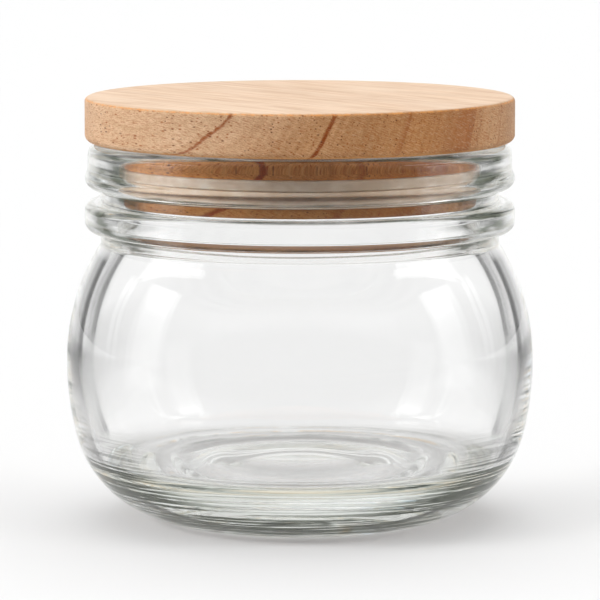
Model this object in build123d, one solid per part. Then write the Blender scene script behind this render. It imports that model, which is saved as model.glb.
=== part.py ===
"""Sourdough starter jar: a round glass jar, a turned wooden lid and the lid's silicone seal.

Millimetres. +Z is up and the origin is the centre of the foot ring, on the surface that the jar
stands on. Every piece is a solid of revolution about Z, so each one is drawn as half a section,
with the radius across and the height up, and turned once round.
"""
from build123d import *
import os

os.makedirs("parts", exist_ok=True)

# Glass, the outside of the body, from the foot up
foot_radius = 31.0          # outer edge of the ring that the jar stands on
heel_height = 19.9          # where the tight curve of the heel runs into the flatter side
heel_inset = 2.05           # how far inside the belly's widest line the side is there
belly_radius = 54.5         # widest line of the belly
belly_height = 36.7         # height of that line
shoulder_height = 64.5      # corner between the belly and the neck

# Glass, the inside of the body
wall_thickness = 3.0        # wall at the belly's widest line, a little thicker below it
base_thickness = 12.5       # foot to the floor inside, a heavy base of solid glass
floor_inset = 5.8           # how far the side has come in where it would meet the floor
floor_corner_radius = 6.5
throat_rise = 0.8           # the straight throat starts this far above the shoulder
throat_corner_radius = 9.0

# Glass, the hollow under the base
hollow_radius = 27.0
hollow_height = 4.0
hollow_corner_radius = 1.0

# Glass, the mouth and neck, from the bore outwards and from the shoulder upwards
mouth_radius = 42.3         # bore that the plug goes into
neck_wall = 4.15            # bore to the outside of the narrow neck
neck_height = 23.5          # shoulder to the top of the lip
shoulder_fillet = 1.5       # soft corner where the shoulder meets the neck
flange_rise = 2.9           # shoulder to the underside of the flange
flange_thickness = 6.9
flange_reach = 3.7          # how far the flange stands out of the neck
flange_top_rounding = 2.2
flange_under_rounding = 2.4
flange_fillet = 0.5         # corners between the flange and the neck
bead_rise = 15.3            # shoulder to the middle of the bead
bead_radius = 2.25          # section of the bead
bead_reach = 3.65           # how far the bead stands out of the neck
bead_fillet = 1.0           # corner between the bead and the neck
lip_width = 7.1             # bore to the outside of the lip
lip_fillet = 4.4            # long hollow curve from the bead into the lip
lip_outer_rounding = 3.0
lip_inner_rounding = 2.2

# Wooden lid: a disc and a plug turned from one piece
lid_radius = 50.0
lid_thickness = 10.3
lid_top_rounding = 1.1
lid_under_rounding = 1.6
lid_lip_gap = 0.3           # the disc stands this far above the lip
plug_clearance = 1.3        # plug to bore
plug_length = 14.6
plug_rounding = 0.9
groove_drop = 5.2           # disc's underside to the top of the seal's groove
groove_height = 5.8
groove_depth = 2.0

# Silicone seal
lower_rib_height = 1.8
recess_height = 0.4         # narrow recess between the ribs, the upper rib is the rest
rib_clearance = 0.3         # ribs to the bore, so that the lid slides without touching
rib_tip_rounding = 0.6
web_inset = 0.3             # the web between the ribs lies this far inside the plug's side

# How closely a corner has to lie to a radius or height to be picked
pick_tolerance = 0.01

# Radii and heights that follow from the sizes above
inner_belly_radius = belly_radius - wall_thickness
floor_radius = inner_belly_radius - floor_inset
neck_radius = mouth_radius + neck_wall
lip_radius = mouth_radius + lip_width
lip_height = shoulder_height + neck_height
bead_height = shoulder_height + bead_rise
flange_radius = neck_radius + flange_reach
flange_bottom = shoulder_height + flange_rise
flange_top = flange_bottom + flange_thickness
throat_height = shoulder_height + throat_rise
plug_radius = mouth_radius - plug_clearance
lid_underside = lip_height + lid_lip_gap
lid_top = lid_underside + lid_thickness
plug_bottom = lid_underside - plug_length
groove_top = lid_underside - groove_drop
groove_bottom = groove_top - groove_height
groove_radius = plug_radius - groove_depth
rib_radius = mouth_radius - rib_clearance
recess_bottom = groove_bottom + lower_rib_height
recess_top = recess_bottom + recess_height


def slab(outer_radius, bottom, top, inner_radius=0):
    """Half section of a disc or a ring, as a rectangle from the inner to the outer radius."""
    width = outer_radius - inner_radius
    return Pos(inner_radius, bottom) * Rectangle(width, top - bottom, align=Align.MIN)


def corners(section, radius=None, height=None):
    """Corners of a half section that lie at the radius, the height, or both."""
    found = section.vertices()
    if radius is not None:
        found = found.filter_by(lambda corner: abs(corner.X - radius) < pick_tolerance)
    if height is not None:
        found = found.filter_by(lambda corner: abs(corner.Y - height) < pick_tolerance)
    return found


def body_outside():
    """Foot to shoulder in three arcs that run into each other."""
    foot = (foot_radius, 0)
    belly = (belly_radius, belly_height)
    heel = (belly_radius - heel_inset, heel_height)
    shoulder = (neck_radius, shoulder_height)
    upper = TangentArc(belly, shoulder, tangent=(0, 1))
    side = TangentArc(belly, heel, tangent=(0, -1))
    bottom = TangentArc(heel, foot, tangent=side % 1)
    closing = Polyline(foot, (0, 0), (0, shoulder_height), shoulder)
    return make_face(Curve() + [upper, side, bottom, closing])


def glass_outside():
    """Everything inside the outer surface of the glass, body, neck, flange, bead and lip."""
    neck = slab(neck_radius, shoulder_height, bead_height)
    lip = slab(lip_radius, bead_height, lip_height)
    bead = Pos(neck_radius + bead_reach - bead_radius, bead_height) * Circle(bead_radius)
    section = body_outside() + neck + lip + bead
    under_bead = corners(section, radius=neck_radius).sort_by(Axis.Y)[-1]
    section = fillet([under_bead], bead_fillet)
    over_bead = corners(section, radius=lip_radius).sort_by(Axis.Y)[0]
    section = fillet([over_bead], lip_fillet)
    section = fillet(corners(section, lip_radius, lip_height), lip_outer_rounding)
    flange = slab(flange_radius, flange_bottom, flange_top)
    flange = fillet(corners(flange, flange_radius, flange_top), flange_top_rounding)
    flange = fillet(corners(flange, flange_radius, flange_bottom), flange_under_rounding)
    section = section + flange
    section = fillet(corners(section, neck_radius, flange_top), flange_fillet)
    section = fillet(corners(section, neck_radius, flange_bottom), flange_fillet)
    return fillet(corners(section, neck_radius, shoulder_height), shoulder_fillet)


def glass_inside():
    """The room inside the glass: flat floor, round corner, side, belly, throat and mouth."""
    floor_edge = (floor_radius, base_thickness)
    belly = (inner_belly_radius, belly_height)
    throat = (mouth_radius, throat_height)
    side = TangentArc(belly, floor_edge, tangent=(0, -1))
    upper = TangentArc(belly, throat, tangent=(0, 1))
    closing = Polyline(
        throat, (mouth_radius, lip_height), (0, lip_height), (0, base_thickness), floor_edge
    )
    section = make_face(Curve() + [upper, side, closing])
    section = fillet(corners(section, floor_radius, base_thickness), floor_corner_radius)
    return fillet(corners(section, mouth_radius, throat_height), throat_corner_radius)


def glass_hollow():
    """The shallow dome under the base, which lifts its middle off the table."""
    edge = (hollow_radius, 0)
    dome = TangentArc((0, hollow_height), edge, tangent=(1, 0))
    return make_face(Curve() + [dome, Polyline(edge, (0, 0), (0, hollow_height))])


def glass_jar():
    section = glass_outside() - glass_inside() - glass_hollow()
    section = fillet(corners(section, hollow_radius, 0), hollow_corner_radius)
    section = fillet(corners(section, mouth_radius, lip_height), lip_inner_rounding)
    return revolve(Plane.XZ * section, Axis.Z)


def wooden_lid():
    disc = slab(lid_radius, lid_underside, lid_top)
    disc = fillet(corners(disc, lid_radius, lid_top), lid_top_rounding)
    disc = fillet(corners(disc, lid_radius, lid_underside), lid_under_rounding)
    plug = slab(plug_radius, plug_bottom, lid_underside)
    plug = fillet(corners(plug, plug_radius, plug_bottom), plug_rounding)
    groove = slab(plug_radius, groove_bottom, groove_top, groove_radius)
    return revolve(Plane.XZ * (disc + plug - groove), Axis.Z)


def silicone_seal():
    web = slab(plug_radius - web_inset, recess_bottom, recess_top, groove_radius)
    lower_rib = slab(rib_radius, groove_bottom, recess_bottom, groove_radius)
    upper_rib = slab(rib_radius, recess_top, groove_top, groove_radius)
    section = web + lower_rib + upper_rib
    section = fillet(corners(section, radius=rib_radius), rib_tip_rounding)
    return revolve(Plane.XZ * section, Axis.Z)


pieces = {
    "glass_jar": glass_jar(),
    "wooden_lid": wooden_lid(),
    "silicone_seal": silicone_seal(),
}
for name, piece in pieces.items():
    export_step(piece, f"parts/{name}.step")
    box = piece.bounding_box()
    print(f"{name}: {box.size.X:.1f} x {box.size.Y:.1f} x {box.size.Z:.1f} mm, z from {box.min.Z:.2f}")
print(f"whole jar: {lid_top:.1f} mm tall, {2 * belly_radius:.1f} mm across")
print(f"lift that takes the plug clear of the lip: {lip_height - plug_bottom:.1f} mm")
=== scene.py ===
# %% [markdown]
# # A sourdough starter jar
#
# A round jar of clear pressed glass with a wooden lid. The lid is one turned piece, a disc with a
# plug under it, and a ring of silicone in a groove round the plug closes the mouth. Everything is
# round about one upright axis, so this lesson draws half a section of each piece and turns it.
# Most of the work is in the finishes: thick glass, beech that runs on from the disc into the plug,
# and translucent silicone seen through a ribbed glass neck.

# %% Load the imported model
import math

import bmesh
import bpy
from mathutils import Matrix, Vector


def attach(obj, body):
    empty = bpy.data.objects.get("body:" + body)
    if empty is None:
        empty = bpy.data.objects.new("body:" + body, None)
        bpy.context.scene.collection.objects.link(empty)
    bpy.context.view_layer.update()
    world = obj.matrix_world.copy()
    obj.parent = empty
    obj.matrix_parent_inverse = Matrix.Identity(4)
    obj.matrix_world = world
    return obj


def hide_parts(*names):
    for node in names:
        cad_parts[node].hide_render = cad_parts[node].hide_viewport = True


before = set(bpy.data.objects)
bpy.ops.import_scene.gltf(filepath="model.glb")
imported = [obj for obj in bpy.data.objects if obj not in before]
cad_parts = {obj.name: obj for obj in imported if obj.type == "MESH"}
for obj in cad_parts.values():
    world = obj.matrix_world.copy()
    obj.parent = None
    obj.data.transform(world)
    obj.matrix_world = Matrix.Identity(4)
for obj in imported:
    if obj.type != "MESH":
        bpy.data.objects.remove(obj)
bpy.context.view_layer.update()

# %% [markdown]
# ## A pen for sections
#
# A turned shape can be had from a Screw modifier, from a curve, or from bmesh's own spin operator.
# Here a pen draws half a section, with the radius across and the height up. A straight stretch is
# the tip of the wire extruded, and a round one is the tip spun about a centre until it looks in a
# given direction from there. That keeps every arc a true arc, which matters for glass, because
# each unevenness in a curve shows as a kink in what is seen through it.

# %% The pen
MM = 0.001
ARC_STEP = 3.0          # degrees between two points of an arc


class Pen:
    """Draws half a section as a wire in the XZ plane, in millimetres."""

    def __init__(self, radius, height):
        self.mesh = bmesh.new()
        self.first = self.mesh.verts.new((radius * MM, 0, height * MM))
        self.tip = self.first

    def line(self, radius, height, steps=1):
        """A straight stretch. More steps hold the flat against the rounding beside it."""
        start = self.tip.co.copy()
        end = Vector((radius * MM, 0, height * MM))
        for step in range(steps):
            made = bmesh.ops.extrude_vert_indiv(self.mesh, verts=[self.tip])
            self.tip = made["verts"][0]
            self.tip.co = start.lerp(end, (step + 1) / steps)

    def round(self, centre, direction):
        """An arc about a centre, the short way, until the tip lies in this direction from it."""
        away = self.tip.co / MM - Vector((centre[0], 0, centre[1]))
        start = math.degrees(math.atan2(away.z, away.x))
        turn = (direction - start + 180) % 360 - 180
        made = bmesh.ops.spin(
            self.mesh,
            geom=[self.tip],
            cent=(centre[0] * MM, 0, centre[1] * MM),
            axis=(0, -1, 0),
            angle=math.radians(turn),
            steps=max(1, math.ceil(abs(turn) / ARC_STEP)),
        )
        self.tip = [end for end in made["geom_last"] if isinstance(end, bmesh.types.BMVert)][0]

    def close(self):
        """Joins the end of the wire to its start, for a ring that doesn't reach the axis."""
        self.mesh.edges.new((self.tip, self.first))


# %% [markdown]
# ## From a section to a piece
#
# The wire is spun once round the Z axis. With use_merge the last copy joins the first, and points
# on the axis are merged afterwards, so the surface is closed. Only then are the normals worked
# out again. Edges that turn sharply stay sharp, and the rest is shaded smooth.

# %% Turn a section into a piece
ROUND_STEPS = 180       # flats round the jar
MERGE_DISTANCE = 0.002  # millimetres, far less than the shortest edge
SHARP_TURN = 35.0       # degrees, a sharper edge than this stays sharp


def turned_piece(name, pen, body, node):
    """Spins the pen's section round Z, as an object that stands for one CAD node."""
    mesh = pen.mesh
    bmesh.ops.spin(
        mesh,
        geom=mesh.verts[:] + mesh.edges[:],
        cent=(0, 0, 0),
        axis=(0, 0, 1),
        angle=math.tau,
        steps=ROUND_STEPS,
        use_merge=True,
    )
    bmesh.ops.remove_doubles(mesh, verts=mesh.verts[:], dist=MERGE_DISTANCE * MM)
    bmesh.ops.recalc_face_normals(mesh, faces=mesh.faces[:])
    for edge in mesh.edges:
        edge.smooth = edge.calc_face_angle(0) < math.radians(SHARP_TURN)
    for face in mesh.faces:
        face.smooth = True
    data = bpy.data.meshes.new(name)
    mesh.to_mesh(data)
    open_edges = sum(edge.is_boundary for edge in mesh.edges)
    volume = mesh.calc_volume(signed=True) / MM ** 3
    mesh.free()
    piece = bpy.data.objects.new(name, data)
    bpy.context.scene.collection.objects.link(piece)
    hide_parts(node)
    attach(piece, body)
    print(name, len(data.polygons), "faces,", open_edges, "open edges,", round(volume), "mm3")
    return piece


# %% [markdown]
# ## The glass jar
#
# The real jar is pressed and blown in one piece. Its outside is three arcs that run into each
# other, the heel, the side and the shoulder, and its inside follows them 3 mm further in, down to
# a thick flat floor. The neck carries three rings, a flange, a bead and the lip. Small soft
# fillets join them to the neck, and they make the fine bright lines that glass rings have.
#
# An arc that leaves a point in a known direction and passes through another point has one
# possible centre, and the helper below finds it. The dome under the base is so flat that steps
# of three degrees would be coarse, so its points are set by their radius.

# %% The centre of an arc
def arc_centre(start, inward, end):
    """Centre of the arc from start to end whose centre lies inward of start."""
    across, up = end[0] - start[0], end[1] - start[1]
    radius = (across ** 2 + up ** 2) / (2 * (across * inward[0] + up * inward[1]))
    return start[0] + radius * inward[0], start[1] + radius * inward[1], radius


def way(centre, point):
    """Direction of a point from a centre, in degrees."""
    return math.degrees(math.atan2(point[1] - centre[1], point[0] - centre[0]))


def above(centre, distance, radius):
    """Height of the point at this radius that lies so far from the centre, above it."""
    return centre[1] + math.sqrt(distance ** 2 - (radius - centre[0]) ** 2)


# %% Sizes of the glass, in millimetres, as in the CAD source
FOOT_RADIUS, HOLLOW_RADIUS, HOLLOW_HEIGHT, HOLLOW_EDGE = 31.0, 27.0, 4.0, 1.0
BELLY = (54.5, 36.7)
HEEL_INSET, HEEL_HEIGHT = 2.05, 19.9
NECK, SHOULDER_HEIGHT, SHOULDER_FILLET = 46.45, 64.5, 1.5
FLANGE, FLANGE_BOTTOM, FLANGE_TOP = 50.15, 67.4, 74.3
FLANGE_UNDER, FLANGE_OVER, FLANGE_FILLET = 2.4, 2.2, 0.5
BEAD_CENTRE, BEAD_SECTION, BEAD_FILLET = (47.85, 79.8), 2.25, 1.0
LIP, LIP_TOP, LIP_FILLET, LIP_OUTER, LIP_INNER = 49.4, 88.0, 4.4, 3.0, 2.2
MOUTH, THROAT_HEIGHT, THROAT_ROUNDING = 42.3, 65.3, 9.0
WALL, BASE, FLOOR_INSET, FLOOR_ROUNDING = 3.0, 12.5, 5.8, 6.5
NEAR, NEARER = 0.4, 0.3     # a point this far before a rounding holds the flat there

# %% The outside of the glass, from the hollow under the base to the shoulder
glass = Pen(0, HOLLOW_HEIGHT)
dome = arc_centre((0, HOLLOW_HEIGHT), (0, -1), (HOLLOW_RADIUS, 0))
rim = (math.sqrt((dome[2] + HOLLOW_EDGE) ** 2 - (HOLLOW_EDGE - dome[1]) ** 2), HOLLOW_EDGE)
for radius in (1.5, *range(3, 27, 2)):
    glass.line(radius, above(dome, dome[2], radius))
glass.round(dome, way(dome, rim))
glass.round(rim, -90)
glass.line(FOOT_RADIUS - NEARER, 0, 3)
glass.line(FOOT_RADIUS, 0)

heel_turn = 2 * math.atan2(HEEL_INSET, BELLY[1] - HEEL_HEIGHT)
heel_inward = (-math.cos(heel_turn), math.sin(heel_turn))
heel = (BELLY[0] - HEEL_INSET, HEEL_HEIGHT)
shoulder_arc = arc_centre(BELLY, (-1, 0), (NECK, SHOULDER_HEIGHT))
side_arc = arc_centre(BELLY, (-1, 0), heel)
heel_arc = arc_centre(heel, heel_inward, (FOOT_RADIUS, 0))
glass.round(heel_arc, way(heel_arc, heel))
glass.round(side_arc, 0)
fillet_radius = NECK + SHOULDER_FILLET
fillet = (fillet_radius, above(shoulder_arc, shoulder_arc[2] + SHOULDER_FILLET, fillet_radius))
glass.round(shoulder_arc, way(shoulder_arc, fillet))
glass.round(fillet, 180)

# %% The outside of the neck, with its flange, its bead and the lip
glass.line(NECK, FLANGE_BOTTOM - FLANGE_FILLET, 2)
glass.round((NECK + FLANGE_FILLET, FLANGE_BOTTOM - FLANGE_FILLET), 90)
glass.line(FLANGE - FLANGE_UNDER, FLANGE_BOTTOM)
glass.round((FLANGE - FLANGE_UNDER, FLANGE_BOTTOM + FLANGE_UNDER), 0)
glass.line(FLANGE, FLANGE_TOP - FLANGE_OVER, 4)
glass.round((FLANGE - FLANGE_OVER, FLANGE_TOP - FLANGE_OVER), 90)
glass.line(NECK + FLANGE_FILLET, FLANGE_TOP)
glass.round((NECK + FLANGE_FILLET, FLANGE_TOP + FLANGE_FILLET), 180)

reach = BEAD_SECTION + BEAD_FILLET
fillet_radius = NECK + BEAD_FILLET
drop = above(BEAD_CENTRE, reach, fillet_radius) - BEAD_CENTRE[1]
fillet = (fillet_radius, BEAD_CENTRE[1] - drop)
glass.line(NECK, fillet[1], 2)
glass.round(fillet, way(fillet, BEAD_CENTRE))
fillet_radius = LIP + LIP_FILLET
fillet = (fillet_radius, above(BEAD_CENTRE, BEAD_SECTION + LIP_FILLET, fillet_radius))
glass.round(BEAD_CENTRE, way(BEAD_CENTRE, fillet))
glass.round(fillet, 180)
glass.line(LIP, LIP_TOP - LIP_OUTER, 2)
glass.round((LIP - LIP_OUTER, LIP_TOP - LIP_OUTER), 90)
print("outside drawn to the lip, points so far:", len(glass.mesh.verts))

# %% The inside of the glass, from the lip down to the middle of the floor
inner_belly = BELLY[0] - WALL
inner_arc = arc_centre((inner_belly, BELLY[1]), (-1, 0), (MOUTH, THROAT_HEIGHT))
fillet_radius = MOUTH + THROAT_ROUNDING
throat = (fillet_radius, above(inner_arc, inner_arc[2] + THROAT_ROUNDING, fillet_radius))
glass.line(MOUTH + LIP_INNER, LIP_TOP)
glass.round((MOUTH + LIP_INNER, LIP_TOP - LIP_INNER), 180)
glass.line(MOUTH, throat[1], 9)
glass.round(throat, way(throat, inner_arc))
glass.round(inner_arc, 0)
inner_side = arc_centre((inner_belly, BELLY[1]), (-1, 0), (inner_belly - FLOOR_INSET, BASE))
rise = inner_side[1] - BASE - FLOOR_ROUNDING
corner = (inner_side[0] + math.sqrt((inner_side[2] - FLOOR_ROUNDING) ** 2 - rise ** 2),
          BASE + FLOOR_ROUNDING)
glass.round(inner_side, way(inner_side, corner))
glass.round(corner, -90)
glass.line(0, BASE, 8)
jar = turned_piece("glass_jar_clear", glass, "jar", "glass_jar")

# %% [markdown]
# ## The wooden lid
#
# Disc and plug are turned from one block, so the growth rings run on from one into the other. The
# edge above is broken by a small round, the one below by a larger one. The groove for the seal is
# cut square. A few extra points beside each rounding keep the flats flat when they are shaded.

# %% Turn the lid
LID, LID_TOP, LID_UNDER = 50.0, 98.6, 88.3
TOP_ROUND, UNDER_ROUND = 1.1, 1.6
PLUG, PLUG_BOTTOM, PLUG_ROUND = 41.0, 73.7, 0.9
GROOVE, GROOVE_TOP, GROOVE_BOTTOM = 39.0, 83.1, 77.3

lid_section = Pen(0, LID_TOP)
lid_section.line(LID - TOP_ROUND - NEAR, LID_TOP, 12)
lid_section.line(LID - TOP_ROUND, LID_TOP)
lid_section.round((LID - TOP_ROUND, LID_TOP - TOP_ROUND), 0)
lid_section.line(LID, LID_TOP - TOP_ROUND - NEAR)
lid_section.line(LID, LID_UNDER + UNDER_ROUND + NEAR, 4)
lid_section.line(LID, LID_UNDER + UNDER_ROUND)
lid_section.round((LID - UNDER_ROUND, LID_UNDER + UNDER_ROUND), -90)
lid_section.line(PLUG, LID_UNDER, 4)
lid_section.line(PLUG, GROOVE_TOP, 3)
lid_section.line(GROOVE, GROOVE_TOP)
lid_section.line(GROOVE, GROOVE_BOTTOM)
lid_section.line(PLUG, GROOVE_BOTTOM)
lid_section.line(PLUG, PLUG_BOTTOM + PLUG_ROUND + NEARER)
lid_section.line(PLUG, PLUG_BOTTOM + PLUG_ROUND)
lid_section.round((PLUG - PLUG_ROUND, PLUG_BOTTOM + PLUG_ROUND), -90)
lid_section.line(PLUG - PLUG_ROUND - NEAR, PLUG_BOTTOM)
lid_section.line(0, PLUG_BOTTOM, 12)
lid = turned_piece("lid_beech", lid_section, "lid", "wooden_lid")

# %% [markdown]
# ## The silicone seal
#
# One moulded ring with two soft ribs and a web between them. It is drawn a hair inside its groove,
# because two surfaces in exactly the same place flicker when they are rendered.

# %% Turn the seal
HAIR = 0.03             # millimetres
SEAL_TIP, SEAL_WEB, TIP_ROUND = 42.0, 40.7, 0.6
RECESS_BOTTOM, RECESS_TOP = 79.1, 79.5
inner = GROOVE + HAIR
low, high = GROOVE_BOTTOM + HAIR, GROOVE_TOP - HAIR
tip = SEAL_TIP - TIP_ROUND

seal_section = Pen(inner, low)
seal_section.line(tip, low, 3)
seal_section.round((tip, low + TIP_ROUND), 0)
seal_section.line(SEAL_TIP, RECESS_BOTTOM - TIP_ROUND, 2)
seal_section.round((tip, RECESS_BOTTOM - TIP_ROUND), 90)
seal_section.line(SEAL_WEB, RECESS_BOTTOM)
seal_section.line(SEAL_WEB, RECESS_TOP, 2)
seal_section.line(tip, RECESS_TOP)
seal_section.round((tip, RECESS_TOP + TIP_ROUND), 0)
seal_section.line(SEAL_TIP, high - TIP_ROUND, 3)
seal_section.round((tip, high - TIP_ROUND), 90)
seal_section.line(inner, high, 3)
seal_section.close()
seal = turned_piece("seal_silicone_ring", seal_section, "lid", "silicone_seal")

# %% [markdown]
# ## Nodes in a few words
#
# Each finish is a small tree of shader nodes. The helpers below make a material, add a node with
# its settings, and join sockets, so that a finish can be read from top to bottom. A ramp is given
# as a list of stops, each with its place and its colour.

# %% Helpers for shader nodes
class Finish:
    """A material and its node tree, with short ways to add nodes and join them."""

    def __init__(self, name, tree=None):
        if tree is None:
            self.material = bpy.data.materials.new(name)
            self.material.use_nodes = True
            tree = self.material.node_tree
        self.tree = tree
        self.tree.nodes.clear()

    def node(self, kind, inputs=None, **settings):
        made = self.tree.nodes.new(kind)
        for key, value in settings.items():
            setattr(made, key, value)
        for key, value in (inputs or {}).items():
            self.feed(made.inputs[key], value)
        return made

    def feed(self, socket, value):
        """Joins the socket to another one, or sets it to a plain value."""
        if isinstance(value, bpy.types.NodeSocket):
            self.tree.links.new(value, socket)
        else:
            socket.default_value = value

    def math(self, operation, first, second=0.0, third=0.0, clamp=False):
        made = self.node(
            "ShaderNodeMath", {0: first, 1: second, 2: third}, operation=operation, use_clamp=clamp
        )
        return made.outputs[0]

    def mix(self, factor, first, second, blend="MIX"):
        made = self.node("ShaderNodeMix", data_type="RGBA", blend_type=blend)
        for socket, value in ((0, factor), (6, first), (7, second)):
            self.feed(made.inputs[socket], value)
        return made.outputs[2]

    def ramp(self, value, stops, interpolation="LINEAR"):
        made = self.node("ShaderNodeValToRGB", {0: value})
        band = made.color_ramp
        band.interpolation = interpolation
        while len(band.elements) < len(stops):
            band.elements.new(0.5)
        for element, (place, colour) in zip(band.elements, stops):
            element.position = place
            element.color = colour
        return made.outputs[0]

    def span(self, value, start, end, first=0.0, last=1.0):
        """First up to start, last from end on, and even in between."""
        made = self.node("ShaderNodeMapRange", {0: value, 1: start, 2: end, 3: first, 4: last})
        return made.outputs[0]

    def window(self, value, start, full, end, gone):
        """Rises from start to full and falls from end to gone."""
        rise, fall = self.span(value, start, full), self.span(value, end, gone, 1.0, 0.0)
        return self.math("MULTIPLY", rise, fall)

    def output(self, surface, volume=None, kind="ShaderNodeOutputMaterial"):
        made = self.node(kind)
        self.tree.links.new(surface, made.inputs["Surface"])
        if volume is not None:
            self.tree.links.new(volume, made.inputs["Volume"])


# %% Helpers for colours
def grey(level):
    return level, level, level, 1.0


def greys(*stops):
    """The stops of a ramp that has no colour, from pairs of a place and a level."""
    return [(place, grey(level)) for place, level in stops]


def srgb(red, green, blue):
    """A colour as a screen shows it, from 0 to 255, as the linear colour that nodes want."""
    parts = []
    for value in (red, green, blue):
        value /= 255
        parts.append(value / 12.92 if value <= 0.04045 else ((value + 0.055) / 1.055) ** 2.4)
    return (*parts, 1.0)


# %% [markdown]
# ## Glass
#
# Soda-lime glass bends light by 1.52 and takes a little red and blue out of it, so it is clear
# across a thin wall and grey-green along a thick one. That colour belongs inside, in a Volume
# Absorption. A Principled shader with full transmission does the rest, and the cells below help
# it where a renderer falls short of real glass. All of them need to know where on the jar a point
# lies: how high, how far out from the axis, and whether it is on the floor inside.

# %% Where a point lies on the jar, in metres
FLOOR_LEVEL = BASE * MM
ABOVE_FLOOR, BELOW_FLOOR = 0.0025, 0.0005       # what still counts as the floor


class JarFinish(Finish):
    """The finish of the jar, which knows where on the jar a point lies."""

    def __init__(self):
        super().__init__("jar_glass_clear")
        self.place = self.node("ShaderNodeTexCoord").outputs["Object"]
        across, back, self.height = self.node("ShaderNodeSeparateXYZ", {0: self.place}).outputs
        squares = self.math("ADD", self.math("POWER", across, 2.0), self.math("POWER", back, 2.0))
        self.out = self.math("SQRT", squares)
        self.on_floor = self.window(
            self.height,
            FLOOR_LEVEL - 2 * BELOW_FLOOR,
            FLOOR_LEVEL - BELOW_FLOOR,
            FLOOR_LEVEL + ABOVE_FLOOR,
            FLOOR_LEVEL + 2 * ABOVE_FLOOR,
        )

    def flow(self, scale, detail):
        """Noise drawn out round the jar, as the flow lines in pressed glass are."""
        drawn = self.node("ShaderNodeMapping", {"Vector": self.place, "Scale": scale})
        made = self.node(
            "ShaderNodeTexNoise", {"Vector": drawn.outputs[0], "Scale": 1.0, "Detail": detail}
        )
        return made.outputs["Fac"]


# %% [markdown]
# ### The surface of the glass
#
# The mould leaves two marks, and both are small enough for bumps. The wall wanders a little, and
# less towards the heel, where a wave would break the level lines. The floor inside has ripples
# round its middle, as the flow of the glass has left them.

# %% Waves on the wall and ripples on the floor
WAVE_SCALE, WAVE_HEIGHT = 45.0, 0.004
RIPPLE_REACH, RIPPLE_HEIGHT = 0.05, 0.0007
RIPPLES = greys(
    (0.0, 0.3), (0.17, 0.1), (0.33, 0.8), (0.44, 0.3), (0.56, 1.0),
    (0.62, 0.2), (0.68, 0.9), (0.75, 0.1), (0.82, 0.8), (0.92, 0.0),
)


def glass_surface(finish):
    """The normal with both bumps on it, and the ripples by themselves."""
    waves = finish.node(
        "ShaderNodeTexNoise", {"Vector": finish.place, "Scale": WAVE_SCALE, "Detail": 1.0}
    )
    bump = finish.node(
        "ShaderNodeBump",
        {
            "Height": waves.outputs["Fac"],
            "Strength": finish.span(finish.height, 0.014, 0.022, 0.006, 0.05),
            "Distance": WAVE_HEIGHT,
        },
    )
    ripples = finish.ramp(finish.math("DIVIDE", finish.out, RIPPLE_REACH), RIPPLES, "EASE")
    bump = finish.node(
        "ShaderNodeBump",
        {
            "Height": finish.math("MULTIPLY", ripples, finish.on_floor),
            "Strength": 1.0,
            "Distance": RIPPLE_HEIGHT,
            "Normal": bump.outputs[0],
        },
    )
    return bump.outputs[0], ripples


# %% [markdown]
# ### Painted dark lines at the edges
#
# A clear wall seen nearly edge on shows the dark room beside the jar, and that thin dark line is
# what the eye takes for the edge of the glass. No such room is here, so a painted shade that
# depends on the angle stands in for it and draws the line. The wall, the rings of the neck and the
# heel have a ramp each, from facing the ray at 0 to edge on at 1, and a share by height says where
# each one counts. Slow flow lines break the line on the rings and fine streaks break it on the
# heel. The heel's painted shade keeps to the outer skin, and the floor inside gets painted dark
# rings only along its ripples.

# %% The ramps of the painted dark edge lines
WALL_PAINTED_SHADE = greys(
    (0.0, 1.0), (0.60, 1.0), (0.638, 0.80), (0.65, 0.08), (0.672, 0.012), (0.70, 0.08),
    (0.715, 0.30), (0.75, 0.24), (0.79, 0.50), (0.90, 0.85), (1.0, 1.0),
)
RING_PAINTED_SHADE = [
    (0.0, grey(1.0)),
    (0.34, grey(1.0)),
    (0.44, (0.10, 0.115, 0.09, 1)),
    (0.56, (0.035, 0.042, 0.03, 1)),
    (0.66, (0.08, 0.09, 0.07, 1)),
    (0.74, grey(0.65)),
    (1.0, grey(1.0)),
]
HEEL_PAINTED_SHADE = [
    (0.0, grey(1.0)),
    (0.20, grey(1.0)),
    (0.36, grey(0.70)),
    (0.44, (0.14, 0.15, 0.13, 1)),
    (0.52, (0.014, 0.016, 0.011, 1)),
    (0.86, (0.005, 0.007, 0.004, 1)),
    (1.0, grey(0.4)),
]
# painted dark rings on the floor inside, along its ripples
FLOOR_PAINTED_SHADE = 0.50

# %% Where each painted dark line counts
DECIMETRES = 10.0       # a ramp runs from 0 to 1, so heights go into it in decimetres
WALL_SHARE = greys(
    (0.05, 1.0), (0.18, 0.8), (0.26, 0.25), (0.36, 0.25), (0.42, 1.0), (0.62, 1.0), (0.655, 0.0)
)
RING_FLOW = (60, 60, 500)
SKIN_AT_FOOT, SKIN_SLOPE = 0.0445, 0.28     # a line inside the wall, from the foot up


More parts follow.
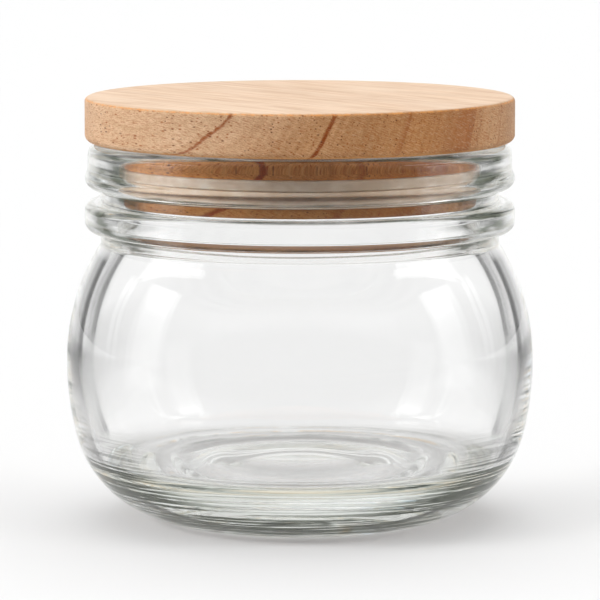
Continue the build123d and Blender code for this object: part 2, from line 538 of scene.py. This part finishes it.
def painted_edge_shade(finish, ripples, streaks):
    """Painted shade: dark lines where the glass is seen edge on, as a dark room beside it would
    give.
    """
    facing = finish.node("ShaderNodeLayerWeight", {"Blend": 0.5}).outputs["Facing"]
    wall_share = finish.ramp(finish.math("MULTIPLY", finish.height, DECIMETRES), WALL_SHARE)
    off_floor = finish.math("SUBTRACT", 1.0, finish.on_floor)
    wall_share = finish.math("MULTIPLY", wall_share, off_floor)

    uneven = finish.span(finish.flow(RING_FLOW, 2.0), 0.38, 0.56, 0.35, 1.0)
    ring_share = finish.math("MULTIPLY", finish.span(finish.height, 0.0645, 0.067), uneven)

    heel_share = finish.math("MULTIPLY", finish.span(finish.height, 0.026, 0.016),
                             finish.span(streaks, 0.465, 0.50, 0.30, 1.0))
    skin_line = finish.math("MULTIPLY_ADD", finish.height, SKIN_SLOPE, SKIN_AT_FOOT)
    outside = finish.math("GREATER_THAN", finish.out, skin_line)
    under = finish.math("LESS_THAN", finish.height, FLOOR_LEVEL - BELOW_FLOOR)
    heel_share = finish.math("MULTIPLY", heel_share, finish.math("MAXIMUM", outside, under))

    along_ripples = finish.span(ripples, 0.15, 0.9, 0.2, 1.0)
    floor_share = finish.math("MULTIPLY", finish.on_floor, along_ripples)
    tint = finish.mix(floor_share, grey(1.0), grey(FLOOR_PAINTED_SHADE))
    tint = finish.mix(wall_share, tint, finish.ramp(facing, WALL_PAINTED_SHADE))
    tint = finish.mix(ring_share, tint, finish.ramp(facing, RING_PAINTED_SHADE))
    return finish.mix(heel_share, tint, finish.ramp(facing, HEEL_PAINTED_SHADE))


# %% [markdown]
# ### Shadows and lost light
#
# Lamps can't find their way through bent glass, so for shadow rays the surface is simply a pane.
# It is darker at the heel, where the glass is thick, and nearly clear in the middle of the base.
#
# In the thick heel light goes round and round before it comes out again. A renderer gives up
# after a few turns and leaves black there, so a ray that has been thrown about four times gets a
# streaky painted glow instead. Its streaks are painted light, mostly grey-green and white, with a
# little of the brown and the blue of the room round the jar.

# %% The pane for shadows and the glow of lost rays
PANE_TINT = greys((0.0, 0.04), (0.04, 0.35), (0.09, 0.70), (0.20, 1.0))
PANE_MIDDLE = 0.86
LOST_AFTER, LOST_LEVEL = 3.5, 1.6
# painted light of the heel: the colours of its glow streaks
LOST_GLOW_STREAKS = [
    (0.36, (0.03, 0.035, 0.025, 1)),
    (0.42, (0.20, 0.21, 0.195, 1)),
    (0.46, (0.66, 0.675, 0.65, 1)),
    (0.49, (0.14, 0.145, 0.13, 1)),
    (0.515, (0.90, 0.91, 0.90, 1)),
    (0.54, (0.60, 0.44, 0.26, 1)),
    (0.57, (0.40, 0.41, 0.39, 1)),
    (0.61, (1.0, 1.0, 1.0, 1)),
    (0.66, (0.58, 0.68, 0.78, 1)),
]


def shadow_pane(finish):
    tint = finish.ramp(finish.math("MULTIPLY", finish.height, DECIMETRES), PANE_TINT)
    tint = finish.mix(finish.span(finish.out, 0.036, 0.030), tint, grey(PANE_MIDDLE))
    return finish.node("ShaderNodeBsdfTransparent", {"Color": tint}).outputs[0]


def lost_light(finish, streaks):
    colour = finish.ramp(streaks, LOST_GLOW_STREAKS)
    return finish.node("ShaderNodeEmission", {"Color": colour, "Strength": LOST_LEVEL}).outputs[0]


# %% The glass finish
HEEL_FLOW = (26, 26, 1700)
GLASS_BEND = 1.52
GLASS_BODY, BODY_DENSITY = (0.84, 0.865, 0.83, 1), 12.0


def glass_finish():
    finish = JarFinish()
    normal, ripples = glass_surface(finish)
    streaks = finish.flow(HEEL_FLOW, 4.0)
    leaving = finish.node("ShaderNodeNewGeometry").outputs["Backfacing"]
    # the painted dark edge lines go into the colour where a ray enters the glass
    clear = finish.node(
        "ShaderNodeBsdfPrincipled",
        {
            "Base Color": finish.mix(leaving, painted_edge_shade(finish, ripples, streaks), grey(1.0)),
            "Roughness": 0.0,
            "IOR": GLASS_BEND,
            "Transmission Weight": 1.0,
            "Normal": normal,
        },
    )
    rays = finish.node("ShaderNodeLightPath").outputs
    shaded = finish.node(
        "ShaderNodeMixShader",
        {0: rays["Is Shadow Ray"], 1: clear.outputs[0], 2: shadow_pane(finish)},
    )
    lost = finish.math("GREATER_THAN", rays["Glossy Depth"], LOST_AFTER)
    whole = finish.node(
        "ShaderNodeMixShader", {0: lost, 1: shaded.outputs[0], 2: lost_light(finish, streaks)}
    )
    inside = finish.node(
        "ShaderNodeVolumeAbsorption", {"Color": GLASS_BODY, "Density": BODY_DENSITY}
    )
    finish.output(whole.outputs[0], inside.outputs[0])
    print("glass finish:", len(finish.tree.nodes), "nodes")
    return finish.material


jar.data.materials.append(glass_finish())

# %% [markdown]
# ## Where the board was in the tree
#
# The lid shows its growth rings as arcs on the front of the disc, which run on in the plug. Four
# of them can be measured, and they fit circles about one line, the pith of the tree, 118 mm to
# the left of the lid's middle and 136 mm up, with the grain running from front right to back
# left. So the wood is coloured in the tree's own space: across and up from the pith, and along
# the grain. Rings are then simply a matter of the distance from the pith, rays run outward along
# it, and pores are long tubes along the grain, which show as dots where the side cuts them and as
# fine dashes on the flat top.

# %% The tree's space, in millimetres
PITH_ACROSS, PITH_UP, GRAIN_TURN = 118.0, 136.0, -38.5
MILLIMETRES = 1 / MM
WANDER, WOBBLE = 1.6, 0.5       # how far a ring strays from its circle, slowly and quickly
ARC_SCALE = 120.0               # turns an angle about the pith into a length on a middle ring
TOP_STARTS, TOP_FULL = LID_TOP - 0.35, LID_TOP - 0.05


class BoardFinish(Finish):
    """The finish of the lid, which knows where in the tree a point lies."""

    def __init__(self):
        super().__init__("lid_wood_beech")
        place = self.node("ShaderNodeTexCoord").outputs["Object"]
        self.tree_place = self.node(
            "ShaderNodeMapping",
            {
                "Vector": place,
                "Location": (PITH_ACROSS, 0.0, -PITH_UP),
                "Rotation": (0, 0, math.radians(GRAIN_TURN)),
                "Scale": (MILLIMETRES, MILLIMETRES, MILLIMETRES),
            },
        ).outputs[0]
        parts = self.node("ShaderNodeSeparateXYZ", {0: self.tree_place}).outputs
        self.across, self.along, self.up = parts
        squares = self.math(
            "ADD", self.math("POWER", self.across, 2.0), self.math("POWER", self.up, 2.0)
        )
        radius = self.math("SQRT", squares)
        radius = self.math("MULTIPLY_ADD", self.noise(self.tree_place, 0.06), WANDER, radius)
        radius = self.math("MULTIPLY_ADD", self.noise(self.tree_place, 0.9), WOBBLE, radius)
        self.radius = self.math("SUBTRACT", radius, (WANDER + WOBBLE) / 2)
        self.arc = self.math("MULTIPLY", self.math("ARCTAN2", self.up, self.across), ARC_SCALE)
        height = self.node("ShaderNodeSeparateXYZ", {0: place}).outputs[2]
        self.height = self.math("MULTIPLY", height, MILLIMETRES)
        self.top = self.span(self.height, TOP_STARTS, TOP_FULL)
        self.side = self.math("SUBTRACT", 1.0, self.top)

    def noise(self, vector, scale=1.0, detail=2.0):
        made = self.node("ShaderNodeTexNoise", {"Vector": vector, "Scale": scale, "Detail": detail})
        return made.outputs["Fac"]

    def squeezed(self, values, factors):
        """Three values as one place. A pattern in it is long where the factor is small."""
        parts = [self.math("MULTIPLY", *pair) for pair in zip(values, factors)]
        return self.node("ShaderNodeCombineXYZ", dict(enumerate(parts))).outputs[0]

    def by_rings(self, *factors):
        """Out from the pith, round it, and along the grain."""
        return self.squeezed((self.radius, self.arc, self.along), factors)

    def by_grain(self, *factors):
        """Across, up, and along the grain."""
        return self.squeezed((self.across, self.up, self.along), factors)


pith_distance = math.hypot(PITH_ACROSS, PITH_UP - LID_TOP)
print("the middle of the lid lies", round(pith_distance), "mm from the pith")

# %% [markdown]
# ## Wood
#
# Pale beech or a similar close wood, sanded and lightly oiled. It is painted from large to small,
# and each cell below adds one thing. First come broad soft bands and the five ring lines that can
# be seen. A ring line is sharp on the outer side, soft on the inner, and ragged along its length.
# The first one ends where the photograph shows it end.

# %% Bands and ring lines
FIRST_RING, LAST_RING = 70.0, 175.0
BANDS = [
    (0.12, srgb(210, 177, 146)),
    (0.20, srgb(206, 166, 130)),
    (0.27, srgb(195, 149, 106)),
    (0.48, srgb(184, 133, 84)),
    (0.56, srgb(167, 119, 76)),
    (0.61, srgb(172, 124, 82)),
    (0.68, srgb(184, 144, 106)),
]
# Each ring line: its radius, how thick it is, how softly it starts inside, and how strong it is
RINGS = (
    (85.2, 0.22, 0.2, 0.80),
    (101.2, 0.42, 0.4, 1.0),
    (117.0, 0.3, 1.2, 0.50),
    (135.8, 0.3, 9.0, 0.38),
    (147.2, 0.25, 0.5, 0.32),
)
RING_COLOUR = srgb(138, 64, 10)
RING_OUTER_EDGE = 0.3
FIRST_RING_ENDS = (-9.0, -14.0)         # along the grain


def banded_wood(board):
    colour = board.ramp(board.span(board.radius, FIRST_RING, LAST_RING), BANDS)
    ragged = board.math("MULTIPLY_ADD", board.noise(board.tree_place, 0.7, 3.0), 0.9, 0.55)
    for number, (ring, thick, soft, strength) in enumerate(RINGS):
        line = board.window(
            board.radius, ring - thick - soft, ring - thick, ring, ring + RING_OUTER_EDGE
        )
        line = board.math("MULTIPLY", line, board.math("MULTIPLY", ragged, strength), clamp=True)
        if number == 0:
            line = board.math("MULTIPLY", line, board.span(board.along, *FIRST_RING_ENDS))
        colour = board.mix(line, colour, RING_COLOUR)
    return colour


# %% [markdown]
# Between the ring lines the wood is never even. Three patterns are multiplied in: fine lines that
# follow the rings, broad patches that follow the grain, and, on the side only, small speckles
# where the cut fibres catch the light.

# %% Fine lines, patches and speckles
FINE_LINES = [(0.35, (0.90, 0.86, 0.80, 1)), (0.65, grey(1.06))]
PATCHES = [(0.35, (0.93, 0.90, 0.86, 1)), (0.65, grey(1.04))]
SPECKLES = [(0.34, (0.86, 0.80, 0.72, 1)), (0.5, grey(1.0)), (0.68, grey(1.10))]


def mottled(board, colour, growth):
    colour = board.mix(1.0, colour, board.ramp(growth, FINE_LINES), "MULTIPLY")
    speckles = board.ramp(board.noise(board.by_grain(3.6, 3.6, 2.2)), SPECKLES)
    colour = board.mix(board.side, colour, board.mix(1.0, colour, speckles, "MULTIPLY"))
    patches = board.ramp(board.noise(board.by_grain(0.12, 0.12, 0.03)), PATCHES)
    return board.mix(1.0, colour, patches, "MULTIPLY")


# %% [markdown]
# Rays are thin sheets of cells that run out from the pith. The side cuts them into short dashes,
# some darker and some lighter than the wood. Pores are the open ends of the vessels: one in most
# cells of a Voronoi pattern, more of them just inside two of the rings, each with its own size
# and its own brown.

# %% Rays
DARK_RAY, PALE_RAY = srgb(160, 92, 44), srgb(228, 198, 164)


def with_rays(board, colour):
    """The colour with the rays in it, and the dark rays by themselves."""
    dashes = board.noise(board.by_rings(0.75, 5.5, 0.6), detail=1.5)
    dark = board.math("MULTIPLY", board.span(dashes, 0.52, 0.66),
                      board.math("MULTIPLY_ADD", board.side, 0.45, 0.15))
    colour = board.mix(dark, colour, DARK_RAY)
    pale = board.math("MULTIPLY", board.span(dashes, 0.44, 0.30), 0.25)
    return board.mix(pale, colour, PALE_RAY), dark


# %% Pores
PORE_COLOURS = [(0.3, srgb(92, 46, 18)), (0.7, srgb(158, 88, 38))]
CROWDED = ((90.0, 96.0, 101.0, 103.0), (120.0, 128.0, 134.0, 136.5))
USUAL_SHARE, CROWDED_MORE = 0.68, 0.22
SMALL_PORE, PORE_RANGE, PORE_CORE = 0.19, 0.20, 0.10


def with_pores(board, colour):
    """The colour with the pores in it, and the pores by themselves."""
    place = board.by_grain(1.4, 1.4, 0.45)
    cells = board.node("ShaderNodeTexVoronoi", {"Vector": place, "Scale": 1.0})
    share, width, brown = board.node("ShaderNodeSeparateColor", {0: cells.outputs["Color"]}).outputs
    crowds = [board.window(board.radius, *band) for band in CROWDED]
    limit = board.math("MULTIPLY_ADD", board.math("ADD", *crowds), CROWDED_MORE, USUAL_SHARE)
    width = board.math("MULTIPLY_ADD", width, PORE_RANGE, SMALL_PORE)
    pore = board.span(cells.outputs["Distance"], width, PORE_CORE)
    pore = board.math("MULTIPLY", pore, board.math("LESS_THAN", share, limit), clamp=True)
    pore = board.math("MULTIPLY", pore, board.math("MULTIPLY_ADD", board.side, 0.75, 0.2))
    return board.mix(pore, colour, board.ramp(brown, PORE_COLOURS)), pore


# %% [markdown]
# The flat top is face grain, with long streaks instead of dots, and painted paler as well, a painted
# sheen and light on the top. Both edges of the disc show an orange line, where the sandpaper has
# burnished the wood, and it comes and goes along the rim. The plug is painted darker and warmer, a
# painted shade for the neck round it, and that is what is seen of it through the glass.

# %% The top, the edges and the plug
# face grain of the top, painted paler for the light and the sheen that fall on it
TOP_GRAIN_AND_LIGHT = [(0.36, srgb(216, 183, 152)), (0.5, srgb(228, 200, 173)), (0.64, srgb(233, 209, 184))]
TOP_PATCHES = [(0.36, (0.93, 0.89, 0.85, 1)), (0.5, grey(1.0)), (0.64, grey(1.05))]
TOP_SHARE = 0.85
BURNT = srgb(230, 160, 88)
UPPER_EDGE, LOWER_EDGE = (98.0, 98.15, 98.3, 98.45), (88.3, 88.4, 88.6, 88.9)
# painted shade of the plug inside the neck: darker and warmer low down, warmer above and at its end
PLUG_SHADE_LOW, PLUG_SHADE_HIGH = (0.84, 0.72, 0.50, 1), (1.20, 0.94, 0.56, 1)
PLUG_END_SHADE = (1.20, 1.00, 0.46, 1)


def with_top_grain_and_light(board, colour):
    face = board.ramp(board.noise(board.by_grain(0.9, 0.5, 0.045), detail=3.0), TOP_GRAIN_AND_LIGHT)
    patches = board.ramp(board.noise(board.by_grain(0.16, 0.16, 0.05), detail=3.0), TOP_PATCHES)
    face = board.mix(1.0, face, patches, "MULTIPLY")
    return board.mix(board.math("MULTIPLY", board.top, TOP_SHARE), colour, face)


def with_edges(board, colour, fuzz):
    height = board.math("MULTIPLY_ADD", fuzz, 0.5, board.math("SUBTRACT", board.height, 0.25))
    broken = board.span(board.noise(board.tree_place, 0.8, 3.0), 0.42, 0.58, 0.25, 1.0)
    upper = board.math("MULTIPLY", board.window(height, *UPPER_EDGE), broken)
    lower = board.math("MULTIPLY", board.window(height, *LOWER_EDGE), 0.7)
    burnt = board.math("MULTIPLY", board.math("MAXIMUM", upper, lower), 0.7)
    return board.mix(burnt, colour, BURNT)


def with_plug_shade(board, colour):
    # the plug's painted shade multiplies its wood colour
    shade = board.mix(board.span(board.height, 80.0, 82.0), PLUG_SHADE_LOW, PLUG_SHADE_HIGH)
    end = board.span(board.height, PLUG_BOTTOM + 0.6, PLUG_BOTTOM + 0.2)
    shade = board.mix(end, shade, PLUG_END_SHADE)
    on_plug = board.span(board.height, LID_UNDER - 0.1, LID_UNDER - 0.5)
    return board.mix(on_plug, colour, board.mix(1.0, colour, shade, "MULTIPLY"))


# %% The wood finish
RELIEF_STRENGTH, RELIEF_DEPTH = 0.35, 0.00012


def wood_finish():
    board = BoardFinish()
    growth = board.noise(board.by_rings(1.1, 0.05, 0.01), detail=3.0)
    fuzz = board.noise(board.by_grain(2.2, 2.2, 2.2))
    colour = mottled(board, banded_wood(board), growth)
    colour, ray = with_rays(board, colour)
    colour, pore = with_pores(board, colour)
    colour = with_edges(board, with_top_grain_and_light(board, colour), fuzz)
    colour = with_plug_shade(board, colour)
    relief = board.math("SUBTRACT", board.math("MULTIPLY", fuzz, 0.35), pore)
    relief = board.math("SUBTRACT", relief, board.math("MULTIPLY", ray, 0.5))
    bump = board.node(
        "ShaderNodeBump",
        {"Height": relief, "Strength": RELIEF_STRENGTH, "Distance": RELIEF_DEPTH},
    )
    surface = board.node(
        "ShaderNodeBsdfPrincipled",
        {
            "Base Color": colour,
            "Roughness": board.math("MULTIPLY_ADD", growth, 0.14, 0.44),
            "Specular IOR Level": 0.25,
            "Normal": bump.outputs[0],
        },
    )
    board.output(surface.outputs[0])
    print("wood finish:", len(board.tree.nodes), "nodes")
    return board.material


lid.data.materials.append(wood_finish())

# %% [markdown]
# ## Silicone
#
# Natural silicone lets light a few millimetres in, so its edges glow and its body looks soft and
# grey-beige. Flour and fingers leave a dusty bloom on it, which is a slow noise in the colour and
# a fine one in the roughness. Subsurface scattering does the soft part without making the ring
# see-through.

# %% The silicone finish
BLOOM_SCALE, SLOW_SCALE = 320.0, 60.0
SILICONE = [(0.38, srgb(212, 188, 164)), (0.5, srgb(225, 204, 184)), (0.62, srgb(235, 220, 204))]
SILICONE_BEND, LIGHT_DEPTH = 1.41, 0.002


def silicone_finish():
    finish = Finish("seal_silicone_soft")
    place = finish.node("ShaderNodeTexCoord").outputs["Object"]
    bloom = finish.node("ShaderNodeTexNoise", {"Vector": place, "Scale": BLOOM_SCALE, "Detail": 4.0})
    slow = finish.node("ShaderNodeTexNoise", {"Vector": place, "Scale": SLOW_SCALE, "Detail": 2.0})
    bloom, slow = bloom.outputs["Fac"], slow.outputs["Fac"]
    amount = finish.math("MULTIPLY_ADD", bloom, 0.5, finish.math("MULTIPLY", slow, 0.5))
    bump = finish.node("ShaderNodeBump", {"Height": bloom, "Strength": 0.15, "Distance": 0.0001})
    surface = finish.node(
        "ShaderNodeBsdfPrincipled",
        {
            "Base Color": finish.ramp(amount, SILICONE),
            "Roughness": finish.math("MULTIPLY_ADD", bloom, 0.2, 0.34),
            "IOR": SILICONE_BEND,
            "Subsurface Weight": 0.4,
            "Subsurface Radius": (1.0, 0.8, 0.6),
            "Subsurface Scale": LIGHT_DEPTH,
            "Normal": bump.outputs[0],
        },
    )
    finish.output(surface.outputs[0])
    print("silicone finish:", len(finish.tree.nodes), "nodes")
    return finish.material


seal.data.materials.append(silicone_finish())

# %% [markdown]
# ## The room
#
# The jar stands in a white studio. Looked at, the room is plain white. Through the glass it is
# white behind and at the sides, and dark where a bent ray leaves towards the front. In a mirror
# reflection it is dark but for the backdrop, and that is what makes the body of the jar read as
# glass. For everything else the room is a dim even light, and the lamps do the rest.
#
# What stands behind glass, the plug and the seal, gets more light from low down in the room,
# because the light that bends its way in there is light that no lamp can bring.

# %% The world
AMBIENT, DARK_SIDE, BEHIND_GLASS = 0.30, 0.15, 1.3


def studio_world():
    world = bpy.data.worlds.new("studio")
    world.use_nodes = True
    bpy.context.scene.world = world
    sky = Finish("studio", world.node_tree)
    rays = sky.node("ShaderNodeLightPath").outputs
    direction = sky.node("ShaderNodeTexCoord").outputs["Generated"]
    _, behind, upward = sky.node("ShaderNodeSeparateXYZ", {0: direction}).outputs

    mirrored = sky.span(behind, 0.70, 0.95, DARK_SIDE, 1.0)
    level = sky.node(
        "ShaderNodeMix",
        {0: rays["Is Glossy Ray"], 2: AMBIENT, 3: mirrored},
        data_type="FLOAT",
    ).outputs[0]

    first = sky.math("LESS_THAN", rays["Diffuse Depth"], 0.5)
    later = sky.math("SUBTRACT", 1.0, first)
    through = sky.span(behind, -0.3, 0.2, DARK_SIDE, 1.0)
    through = sky.math("MAXIMUM", through, rays["Is Camera Ray"])
    through = sky.math("MULTIPLY", through, first)
    low_light = sky.math("MULTIPLY", sky.span(upward, 0.6, 0.3, 0.0, BEHIND_GLASS), later)
    through = sky.math("MAXIMUM", through, low_light)

    seen = sky.math("MAXIMUM", rays["Is Camera Ray"], rays["Is Transmission Ray"])
    level = sky.node("ShaderNodeMix", {0: seen, 2: level, 3: through}, data_type="FLOAT").outputs[0]
    background = sky.node("ShaderNodeBackground", {"Color": grey(1.0), "Strength": level})
    sky.output(background.outputs[0], kind="ShaderNodeOutputWorld")


studio_world()

# %% [markdown]
# ## The floor
#
# One wide disc, so far out that every ray of the camera meets it. A little glow of its own brings
# it up to the white of the backdrop, and the diffuse part keeps the shadow of the jar. A mirror
# ray that meets the floor in front of the jar or well aside of it finds it dark, as the edge of a
# white table would be in a dark studio. Otherwise the belly would carry a white patch at each
# side.

# %% The floor
FLOOR_RADIUS, FLOOR_DROP = 5.0, 0.00005
FLOOR_WHITE, FLOOR_GLOW, FLOOR_FRONT = 0.64, 0.165, 0.12
ASIDE = (0.06, 0.16, 0.0, 0.7)      # from this far out to that, from nothing to this share
ASIDE_ENDS = (0.6, 0.3)
IN_FRONT = (-0.07, -0.20)


def stage_piece(name, mesh, finish):
    """A piece of the studio, which is no part of the jar."""
    data = bpy.data.meshes.new(name)
    mesh.to_mesh(data)
    mesh.free()
    piece = bpy.data.objects.new(name, data)
    bpy.context.scene.collection.objects.link(piece)
    data.materials.append(finish.material)
    return piece


def floor_finish():
    finish = Finish("floor_white")
    place = finish.node("ShaderNodeTexCoord").outputs["Object"]
    side, depth, _ = finish.node("ShaderNodeSeparateXYZ", {0: place}).outputs
    rays = finish.node("ShaderNodeLightPath").outputs
    aside = finish.span(finish.math("ABSOLUTE", side), *ASIDE)
    aside = finish.math("MULTIPLY", aside, finish.span(depth, *ASIDE_ENDS))
    dark = finish.math("MAXIMUM", finish.span(depth, *IN_FRONT), aside)
    dark = finish.math("MULTIPLY", dark, rays["Is Glossy Ray"])
    colour = finish.mix(dark, grey(FLOOR_WHITE), grey(FLOOR_FRONT))
    matte = finish.node("ShaderNodeBsdfDiffuse", {"Color": colour})
    glowing = finish.math("SUBTRACT", 1.0, rays["Is Diffuse Ray"])
    glowing = finish.math("SUBTRACT", glowing, dark, clamp=True)
    level = finish.math("MULTIPLY", glowing, FLOOR_GLOW)
    glow = finish.node("ShaderNodeEmission", {"Color": grey(1.0), "Strength": level})
    both = finish.node("ShaderNodeAddShader", {0: matte.outputs[0], 1: glow.outputs[0]})
    finish.output(both.outputs[0])
    return finish


disc = bmesh.new()
bmesh.ops.create_circle(disc, cap_ends=True, radius=FLOOR_RADIUS, segments=96)
bmesh.ops.translate(disc, verts=disc.verts[:], vec=(0, 0, -FLOOR_DROP))
stage_piece("floor", disc, floor_finish())

# %% [markdown]
# ## Lamps
#
# The wood is lightest at its two sides and darkest in the middle, so two broad lamps stand left
# and right, hardly in front, with the stronger one at the left. Its top is bright, and a wide
# third lamp hangs above and a little behind. None of them is seen in the glass.

# %% The lamps
def sun(name, direction, strength, spread):
    data = bpy.data.lights.new(name, "SUN")
    data.energy = strength
    data.angle = math.radians(spread)
    lamp = bpy.data.objects.new(name, data)
    lamp.rotation_euler = Vector(direction).to_track_quat("Z", "Y").to_euler()
    lamp.visible_glossy = False
    lamp.visible_transmission = False
    bpy.context.scene.collection.objects.link(lamp)
    print(name, "strength", strength, "spread", spread, "degrees")


sun("left_lamp", (-0.86, -0.20, 0.47), 2.6, 24)
sun("right_lamp", (0.86, -0.20, 0.47), 1.5, 24)
sun("top_lamp", (0.0, 0.32, 0.95), 1.3, 50)

# %% [markdown]
# ## Panels
#
# The highlights on the belly are two tall windows, brightest at the upper part and soft at the
# lower end, each with a slanted top. A narrow streak stands beside each window, and a small
# separate light lies above it on the shoulder. They come from a panel at each side, which only
# reflections and refractions see, and a pattern on the panel draws the three shapes.

# %% The pattern on a panel, in metres along it and up
PANEL_DISTANCE, PANEL_BACK, PANEL_FRONT, PANEL_TOP, PANEL_LEVEL = 0.25, 0.07, -0.14, 0.31, 2.4
WINDOW, WINDOW_TOP, WINDOW_SLOPE = (-0.109, -0.101, -0.024, -0.014), (0.174, 0.168), 0.27
STREAK, STREAK_RISE = (0.034, 0.038, 0.048, 0.054), (0.00, 0.06, 0.15, 0.17)
UPPER, UPPER_RISE, UPPER_SLOPE = (-0.135, -0.125, 0.02, 0.035), (0.183, 0.188, 0.228, 0.236), 0.72
FADE = greys((0.0, 0.12), (0.20, 0.24), (0.40, 0.40), (0.52, 0.85))


def panel_finish(name):
    finish = Finish(name)
    place = finish.node("ShaderNodeTexCoord").outputs["Object"]
    _, depth, height = finish.node("ShaderNodeSeparateXYZ", {0: place}).outputs
    slant = finish.math("MULTIPLY_ADD", depth, WINDOW_SLOPE, height)
    tall = finish.math("MULTIPLY", finish.window(depth, *WINDOW), finish.span(slant, *WINDOW_TOP))
    narrow = finish.window(depth, *STREAK)
    narrow = finish.math("MULTIPLY", narrow, finish.window(height, *STREAK_RISE))
    fade = finish.ramp(finish.math("DIVIDE", height, PANEL_TOP), FADE)
    tall = finish.math("MULTIPLY", finish.math("ADD", tall, narrow), fade)
    slant = finish.math("MULTIPLY_ADD", depth, UPPER_SLOPE, height)
    upper = finish.window(depth, *UPPER)
    upper = finish.math("MULTIPLY", upper, finish.window(slant, *UPPER_RISE))
    strength = finish.math("MULTIPLY", finish.math("ADD", tall, upper), PANEL_LEVEL)
    glow = finish.node("ShaderNodeEmission", {"Strength": strength})
    air = finish.node("ShaderNodeBsdfTransparent")
    lit = finish.node("ShaderNodeAddShader", {0: glow.outputs[0], 1: air.outputs[0]})
    finish.output(lit.outputs[0])
    return finish


# %% The panels
def panel(name, side):
    """A tall light beside the jar, side -1 for left and 1 for right."""
    mesh = bmesh.new()
    corner = mesh.verts.new((side * PANEL_DISTANCE, PANEL_FRONT, 0))
    line = bmesh.ops.extrude_vert_indiv(mesh, verts=[corner])
    line["verts"][0].co.y = PANEL_BACK
    sheet = bmesh.ops.extrude_edge_only(mesh, edges=line["edges"])
    top = [part for part in sheet["geom"] if isinstance(part, bmesh.types.BMVert)]
    bmesh.ops.translate(mesh, verts=top, vec=(0, 0, PANEL_TOP))
    piece = stage_piece(name, mesh, panel_finish(name))
    piece.visible_camera = False
    piece.visible_diffuse = False
    piece.visible_shadow = False
    print(name, "at", side * PANEL_DISTANCE, "m")


panel("left_panel", -1)
panel("right_panel", 1)

# %% [markdown]
# ## The camera
#
# The lid's ellipse and the shoulder's give the tilt and the distance: about a metre away, looking
# down by 7 degrees, with a long lens.

# %% The camera
CAMERA_BACK, CAMERA_UP, CAMERA_TILT = 1.025, 0.17959, 0.125
SENSOR, LENS, SHIFT = 36.0, 265.17, 0.00025

camera_data = bpy.data.cameras.new("camera")
camera_data.sensor_width = SENSOR
camera_data.lens = LENS
camera_data.shift_x = SHIFT
camera = bpy.data.objects.new("camera", camera_data)
camera.location = (0, -CAMERA_BACK, CAMERA_UP)
camera.rotation_euler = (math.pi / 2 - CAMERA_TILT, 0, 0)
bpy.context.scene.collection.objects.link(camera)
bpy.context.scene.camera = camera
bpy.context.scene.view_settings.view_transform = "Standard"
print("camera looks down by", round(math.degrees(CAMERA_TILT), 1), "degrees")
